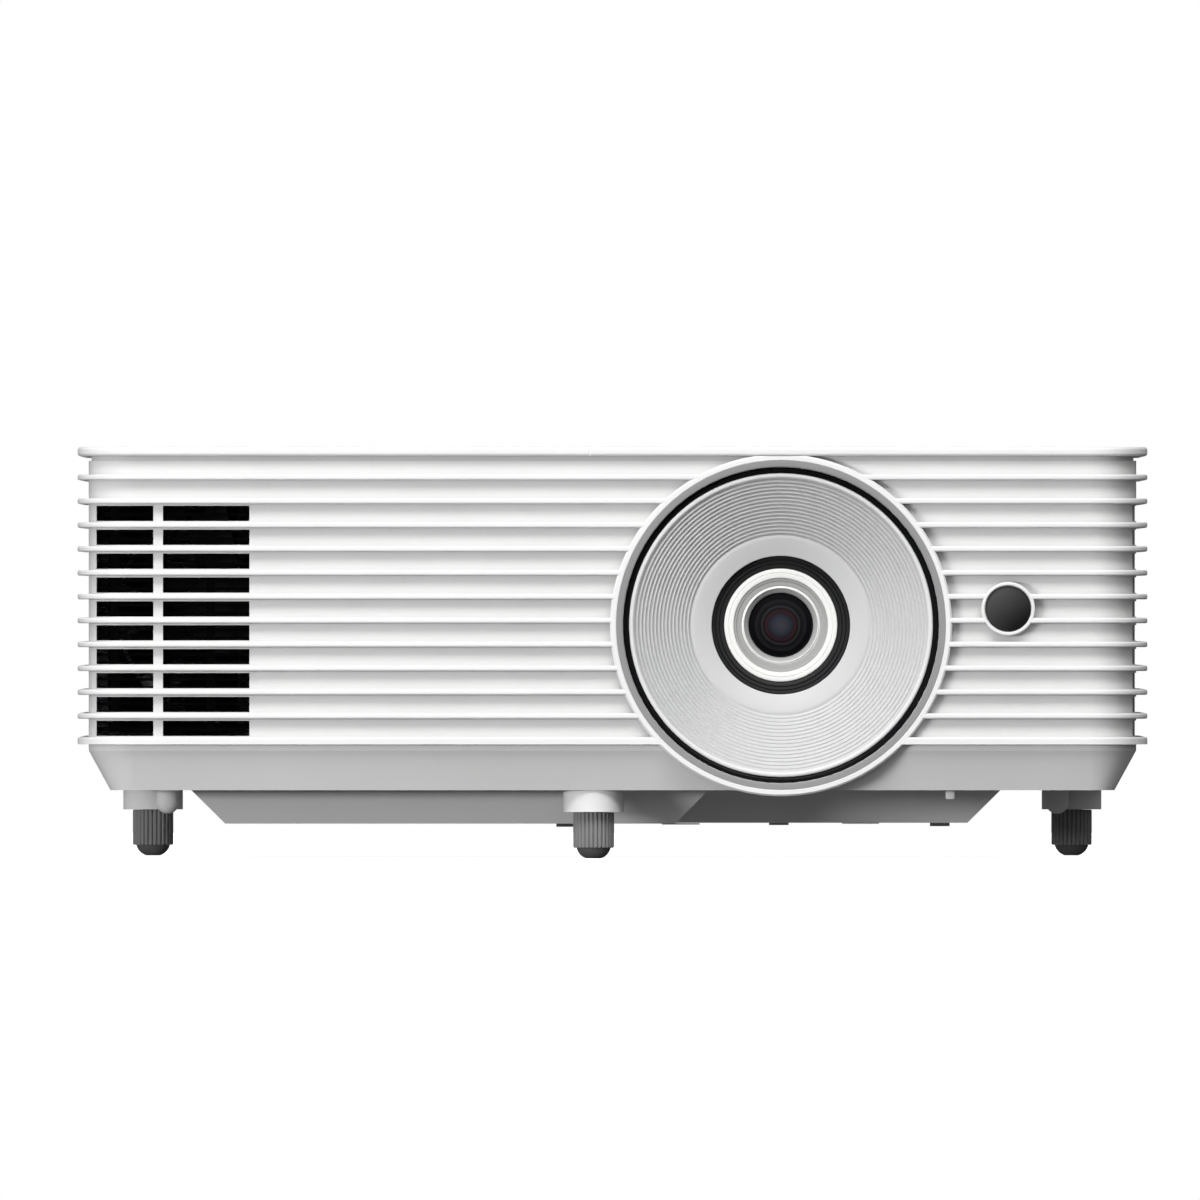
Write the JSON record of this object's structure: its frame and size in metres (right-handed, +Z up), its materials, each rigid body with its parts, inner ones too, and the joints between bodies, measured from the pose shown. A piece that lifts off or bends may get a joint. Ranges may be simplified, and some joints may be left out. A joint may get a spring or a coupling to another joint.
{
  "type": "home projector",
  "caption": "White desktop video projector: finned box case with an off-centre grooved lens, screw feet, sprung keypad, rear sockets and a lift-off lamp cover.",
  "frame": {"origin": "on the surface it stands on, under the middle of the case", "axes": "+Z up, the lens faces -Y, +X to the right of somebody looking at the front"},
  "size_m": [0.312, 0.222, 0.12],
  "materials": {
    "case_white": "fine satin moulded texture",
    "lid_white": "fine satin moulded texture",
    "lens_silver": "satin silver paint over turned grooves",
    "gloss_black": "polished",
    "barrel_black": "satin",
    "cell_white": "satin",
    "ring_metal": "turned",
    "lens_glass": "polished and coated",
    "knob_grey": "ribbed",
    "foot_dark": "satin",
    "insert_brass": "machined",
    "screen_black": "matt",
    "fan_black": "satin",
    "cast_metal": "cast",
    "wheel_glass": "polished",
    "board_green": "solder resist",
    "panel_grey": "fine texture",
    "socket_metal": "plated",
    "jack_brass": "plated",
    "inlet_black": "satin",
    "button_grey": "satin",
    "light_clear": "clear light pipe"
  },
  "bodies": {
    "chassis": {"finned_case": "case_white", "bottom_case": "case_white", "top_cover": "lid_white", "lens_bezel": "lens_silver", "bezel_trim_ring": "gloss_black", "infrared_window": "gloss_black", "lens_barrel": "barrel_black", "case_screws": "ring_metal", "foot_nuts": "ring_metal", "ceiling_mount_inserts": "insert_brass", "vent_screens": "screen_black", "exhaust_fan_frame": "screen_black", "blower_housing": "screen_black", "engine_lid": "screen_black", "infrared_receiver": "screen_black", "engine_housing": "cast_metal", "chip_heatsink": "cast_metal", "light_tunnel": "cast_metal", "lamp_housing": "cast_metal", "colour_wheel_motor": "cast_metal", "lamp_reflector": "wheel_glass", "lamp_burner": "wheel_glass", "main_board": "board_green", "power_board": "board_green", "keypad_board": "board_green", "mirror_chip_board": "board_green", "rear_panel": "panel_grey", "hdmi_sockets": "socket_metal", "data_sockets": "socket_metal", "usb_socket": "socket_metal", "power_inlet_pins": "socket_metal", "video_jacks": "jack_brass", "power_inlet": "inlet_black", "status_lights": "light_clear"},
    "lamp_cover": {"lamp_cover": "lid_white", "lamp_cover_screw": "ring_metal"},
    "focus_ring": {"focus_ring": "barrel_black"},
    "front_lens_group": {"front_lens_cell": "cell_white", "lens_retaining_ring": "ring_metal", "front_lens": "lens_glass"},
    "zoom_ring": {"zoom_ring": "barrel_black"},
    "zoom_lens_group": {"zoom_lens_cell": "barrel_black", "zoom_lens": "lens_glass"},
    "colour_wheel": {"colour_wheel": "wheel_glass"},
    "exhaust_fan_rotor": {"exhaust_fan_rotor": "fan_black"},
    "blower_rotor": {"blower_rotor": "fan_black"},
    "front_foot": {"front_foot_stud": "foot_dark"},
    "front_foot_knob": {"front_foot_knob": "knob_grey"},
    "rear_left_foot": {"rear_left_foot_stud": "foot_dark"},
    "rear_left_foot_knob": {"rear_left_foot_knob": "knob_grey"},
    "rear_right_foot": {"rear_right_foot_stud": "foot_dark"},
    "rear_right_foot_knob": {"rear_right_foot_knob": "knob_grey"},
    "up_button": {"up_button": "button_grey"},
    "down_button": {"down_button": "button_grey"},
    "left_button": {"left_button": "button_grey"},
    "right_button": {"right_button": "button_grey"},
    "enter_button": {"enter_button": "button_grey"},
    "power_button": {"power_button": "button_grey"},
    "menu_button": {"menu_button": "button_grey"},
    "source_button": {"source_button": "button_grey"}
  },
  "joints": [
    {"name": "front_foot_slide", "type": "slide", "parent": "chassis", "child": "front_foot", "axis": [0, 0, -1], "range_m": [0, 0.008]},
    {"name": "front_foot_turn", "type": "hinge", "parent": "front_foot", "child": "front_foot_knob", "pos_m": [-0.0055, -0.0918, 0.0083], "axis": [0, 0, -1], "range_deg": [0, 2304]},
    {"name": "rear_left_foot_slide", "type": "slide", "parent": "chassis", "child": "rear_left_foot", "axis": [0, 0, -1], "range_m": [0, 0.008]},
    {"name": "rear_left_foot_turn", "type": "hinge", "parent": "rear_left_foot", "child": "rear_left_foot_knob", "pos_m": [-0.1356, 0.088, 0.0083], "axis": [0, 0, -1], "range_deg": [0, 2304]},
    {"name": "rear_right_foot_slide", "type": "slide", "parent": "chassis", "child": "rear_right_foot", "axis": [0, 0, -1], "range_m": [0, 0.008]},
    {"name": "rear_right_foot_turn", "type": "hinge", "parent": "rear_right_foot", "child": "rear_right_foot_knob", "pos_m": [0.1356, 0.088, 0.0083], "axis": [0, 0, -1], "range_deg": [0, 2304]},
    {"name": "focus_turn", "type": "hinge", "parent": "chassis", "child": "focus_ring", "pos_m": [0.0491, -0.0863, 0.06805], "axis": [0, -1, 0], "range_deg": [-60, 60]},
    {"name": "focus_slide", "type": "slide", "parent": "chassis", "child": "front_lens_group", "axis": [0, -1, 0], "range_m": [-0.002, 0.002]},
    {"name": "zoom_turn", "type": "hinge", "parent": "chassis", "child": "zoom_ring", "pos_m": [0.0491, -0.0725, 0.06805], "axis": [0, -1, 0], "range_deg": [-25, 25]},
    {"name": "zoom_slide", "type": "slide", "parent": "chassis", "child": "zoom_lens_group", "axis": [0, -1, 0], "range_m": [-0.005, 0.005]},
    {"name": "lamp_cover_lift", "type": "slide", "parent": "chassis", "child": "lamp_cover", "axis": [0, 0, 1], "range_m": [0, 0.05]},
    {"name": "colour_wheel_spin", "type": "hinge", "parent": "chassis", "child": "colour_wheel", "pos_m": [-0.028, -0.002, 0.049], "axis": [1, 0, 0], "continuous": true},
    {"name": "exhaust_fan_spin", "type": "hinge", "parent": "chassis", "child": "exhaust_fan_rotor", "pos_m": [-0.112, -0.087, 0.072], "axis": [0, 1, 0], "continuous": true},
    {"name": "blower_spin", "type": "hinge", "parent": "chassis", "child": "blower_rotor", "pos_m": [0.109, -0.042, 0.048], "axis": [0, 0, 1], "continuous": true},
    {"name": "up_press", "type": "slide", "parent": "chassis", "child": "up_button", "axis": [0, 0, -1], "range_m": [0, 0.0008], "stiffness_N_per_m": 1500, "springref_m": -0.0003},
    {"name": "down_press", "type": "slide", "parent": "chassis", "child": "down_button", "axis": [0, 0, -1], "range_m": [0, 0.0008], "stiffness_N_per_m": 1500, "springref_m": -0.0003},
    {"name": "left_press", "type": "slide", "parent": "chassis", "child": "left_button", "axis": [0, 0, -1], "range_m": [0, 0.0008], "stiffness_N_per_m": 1500, "springref_m": -0.0003},
    {"name": "right_press", "type": "slide", "parent": "chassis", "child": "right_button", "axis": [0, 0, -1], "range_m": [0, 0.0008], "stiffness_N_per_m": 1500, "springref_m": -0.0003},
    {"name": "enter_press", "type": "slide", "parent": "chassis", "child": "enter_button", "axis": [0, 0, -1], "range_m": [0, 0.0008], "stiffness_N_per_m": 1500, "springref_m": -0.0003},
    {"name": "power_press", "type": "slide", "parent": "chassis", "child": "power_button", "axis": [0, 0, -1], "range_m": [0, 0.0008], "stiffness_N_per_m": 1500, "springref_m": -0.0003},
    {"name": "menu_press", "type": "slide", "parent": "chassis", "child": "menu_button", "axis": [0, 0, -1], "range_m": [0, 0.0008], "stiffness_N_per_m": 1500, "springref_m": -0.0003},
    {"name": "source_press", "type": "slide", "parent": "chassis", "child": "source_button", "axis": [0, 0, -1], "range_m": [0, 0.0008], "stiffness_N_per_m": 1500, "springref_m": -0.0003}
  ],
  "couplings": [
    {"joint": "front_foot_turn", "follows": "front_foot_slide", "rad_per_m": 5026},
    {"joint": "rear_left_foot_turn", "follows": "rear_left_foot_slide", "rad_per_m": 5026},
    {"joint": "rear_right_foot_turn", "follows": "rear_right_foot_slide", "rad_per_m": 5026},
    {"joint": "focus_turn", "follows": "focus_slide", "rad_per_m": 523.55},
    {"joint": "zoom_turn", "follows": "zoom_slide", "rad_per_m": 87.258}
  ]
}
